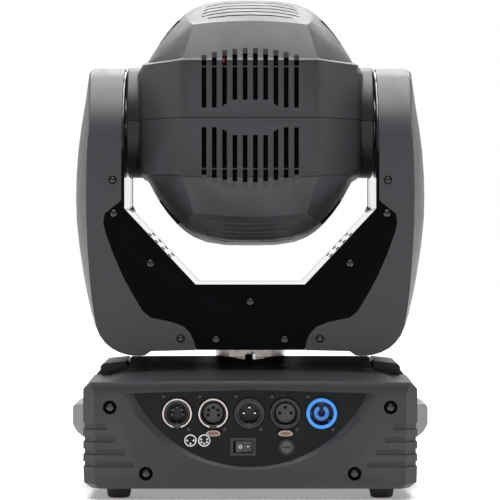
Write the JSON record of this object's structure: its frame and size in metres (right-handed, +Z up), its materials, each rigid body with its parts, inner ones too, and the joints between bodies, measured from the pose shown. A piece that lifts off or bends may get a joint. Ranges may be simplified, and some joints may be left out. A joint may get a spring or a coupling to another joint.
{
  "type": "moving head light",
  "caption": "Moving head stage light: a motorised yoke pans on a base with connectors and a menu, and a lamp head tilts between its arms.",
  "frame": {"origin": "on the pan axis, at the bracket seat face under the base, 7.4 mm above the floor the feet stand on", "axes": "+Z up along the pan axis, +Y towards the lens with the head level, -Y towards the connector panel, +X to the right seen from the connector side"},
  "size_m": [0.292, 0.294, 0.4032],
  "materials": {
    "cover_plastic": "fine-textured satin moulding",
    "black_plastic": "satin moulding",
    "handle_plastic": "satin moulding",
    "blue_plastic": "gloss moulding",
    "board": "solder resist",
    "black_paint": "matte powder coat",
    "skin_paint": "semi-gloss powder coat",
    "sheet_steel": "brushed",
    "plated_metal": "nickel plated",
    "aluminium": "turned",
    "reflector": "polished",
    "lens_glass": "coated",
    "screen": "gloss",
    "foot_rubber": "matte"
  },
  "bodies": {
    "base": {"base_plate": "sheet_steel", "rear_end_cover": "cover_plastic", "front_end_cover": "cover_plastic", "centre_cover": "cover_plastic", "handle_left": "handle_plastic", "handle_right": "handle_plastic", "foot_1": "foot_rubber", "foot_2": "foot_rubber", "foot_3": "foot_rubber", "foot_4": "foot_rubber", "connector_panel": "black_paint", "five_pin_male": "plated_metal", "five_pin_female": "plated_metal", "three_pin_male": "black_plastic", "three_pin_female": "black_plastic", "power_inlet": "blue_plastic", "switch_bezel": "black_plastic", "fuse_holder": "black_plastic", "control_panel": "black_paint", "display_screen": "screen", "pan_motor": "black_paint", "pan_belt": "black_plastic", "pan_bearing": "sheet_steel", "power_supply": "sheet_steel", "control_board": "board"},
    "five_pin_latch": {"five_pin_latch_tab": "plated_metal"},
    "three_pin_latch": {"three_pin_latch_tab": "plated_metal"},
    "rocker": {"power_rocker": "black_plastic"},
    "fuse_cap": {"fuse_cap": "black_plastic"},
    "menu_button_1": {"menu_button_1": "black_plastic"},
    "menu_button_2": {"menu_button_2": "black_plastic"},
    "menu_button_3": {"menu_button_3": "black_plastic"},
    "menu_button_4": {"menu_button_4": "black_plastic"},
    "pan_motor_pulley": {"pan_motor_pulley": "aluminium"},
    "pan_lock": {"pan_lock_slider": "black_paint"},
    "yoke": {"pan_hub": "aluminium", "yoke_floor": "sheet_steel", "yoke_rear_plate": "black_paint", "yoke_front_plate": "black_paint", "yoke_inner_skin": "skin_paint", "arm_cover_left": "cover_plastic", "arm_cover_right": "cover_plastic", "tilt_bearing_left": "sheet_steel", "tilt_bearing_right": "sheet_steel", "tilt_motor": "black_paint", "tilt_belt": "black_plastic"},
    "tilt_motor_pulley": {"tilt_motor_pulley": "aluminium"},
    "head": {"head_upper_cover": "cover_plastic", "head_lower_cover": "cover_plastic", "tilt_hub_left": "aluminium", "tilt_hub_right": "aluminium", "head_chassis": "sheet_steel", "front_bezel": "black_plastic", "front_lens": "lens_glass", "lamp_reflector": "reflector", "cooling_fan_frame": "black_plastic"},
    "fan_rotor": {"cooling_fan_rotor": "black_plastic"},
    "colour_wheel": {"colour_wheel": "aluminium"},
    "gobo_wheel": {"gobo_wheel": "sheet_steel"},
    "focus_lens": {"focus_lens": "lens_glass"}
  },
  "joints": [
    {"name": "pan", "type": "hinge", "parent": "base", "child": "yoke", "pos_m": [0, 0, 0.1], "axis": [0, 0, 1], "range_deg": [-270, 270]},
    {"name": "tilt", "type": "hinge", "parent": "yoke", "child": "head", "pos_m": [0, 0, 0.2936], "axis": [1, 0, 0], "range_deg": [-35, 215]},
    {"name": "pan_motor_spin", "type": "hinge", "parent": "base", "child": "pan_motor_pulley", "pos_m": [0, 0.075, 0.08], "axis": [0, 0, 1], "range_deg": [-1080, 1080]},
    {"name": "tilt_motor_spin", "type": "hinge", "parent": "yoke", "child": "tilt_motor_pulley", "pos_m": [0.118, 0, 0.1526], "axis": [1, 0, 0], "range_deg": [-131.25, 806.25]},
    {"name": "power_switch", "type": "hinge", "parent": "base", "child": "rocker", "pos_m": [-0.0057, -0.1206, 0.0342], "axis": [0, 0, 1], "range_deg": [-22, 0]},
    {"name": "fuse_turn", "type": "hinge", "parent": "base", "child": "fuse_cap", "pos_m": [0.0286, -0.12, 0.0339], "axis": [0, 1, 0], "range_deg": [0, 90]},
    {"name": "five_pin_release", "type": "slide", "parent": "base", "child": "five_pin_latch", "axis": [0, 1, 0], "range_m": [0, 0.0015], "stiffness_N_per_m": 300},
    {"name": "three_pin_release", "type": "slide", "parent": "base", "child": "three_pin_latch", "axis": [0, 1, 0], "range_m": [0, 0.0015], "stiffness_N_per_m": 300},
    {"name": "menu_press_1", "type": "slide", "parent": "base", "child": "menu_button_1", "axis": [0, -1, 0], "range_m": [0, 0.0015], "stiffness_N_per_m": 300},
    {"name": "menu_press_2", "type": "slide", "parent": "base", "child": "menu_button_2", "axis": [0, -1, 0], "range_m": [0, 0.0015], "stiffness_N_per_m": 300},
    {"name": "menu_press_3", "type": "slide", "parent": "base", "child": "menu_button_3", "axis": [0, -1, 0], "range_m": [0, 0.0015], "stiffness_N_per_m": 300},
    {"name": "menu_press_4", "type": "slide", "parent": "base", "child": "menu_button_4", "axis": [0, -1, 0], "range_m": [0, 0.0015], "stiffness_N_per_m": 300},
    {"name": "pan_lock_slide", "type": "slide", "parent": "base", "child": "pan_lock", "axis": [0, 1, 0], "range_m": [0, 0.003]},
    {"name": "fan_spin", "type": "hinge", "parent": "head", "child": "fan_rotor", "pos_m": [0, -0.044, 0.352], "axis": [0, 0, 1], "continuous": true},
    {"name": "colour_spin", "type": "hinge", "parent": "head", "child": "colour_wheel", "pos_m": [0, 0.00875, 0.2606], "axis": [0, 1, 0], "continuous": true},
    {"name": "gobo_spin", "type": "hinge", "parent": "head", "child": "gobo_wheel", "pos_m": [0, 0.01675, 0.3266], "axis": [0, 1, 0], "continuous": true},
    {"name": "focus_travel", "type": "slide", "parent": "head", "child": "focus_lens", "axis": [0, 1, 0], "range_m": [-0.02, 0.04]}
  ],
  "couplings": [
    {"joint": "pan_motor_spin", "follows": "pan", "ratio": 4},
    {"joint": "tilt_motor_spin", "follows": "tilt", "ratio": 3.75}
  ]
}
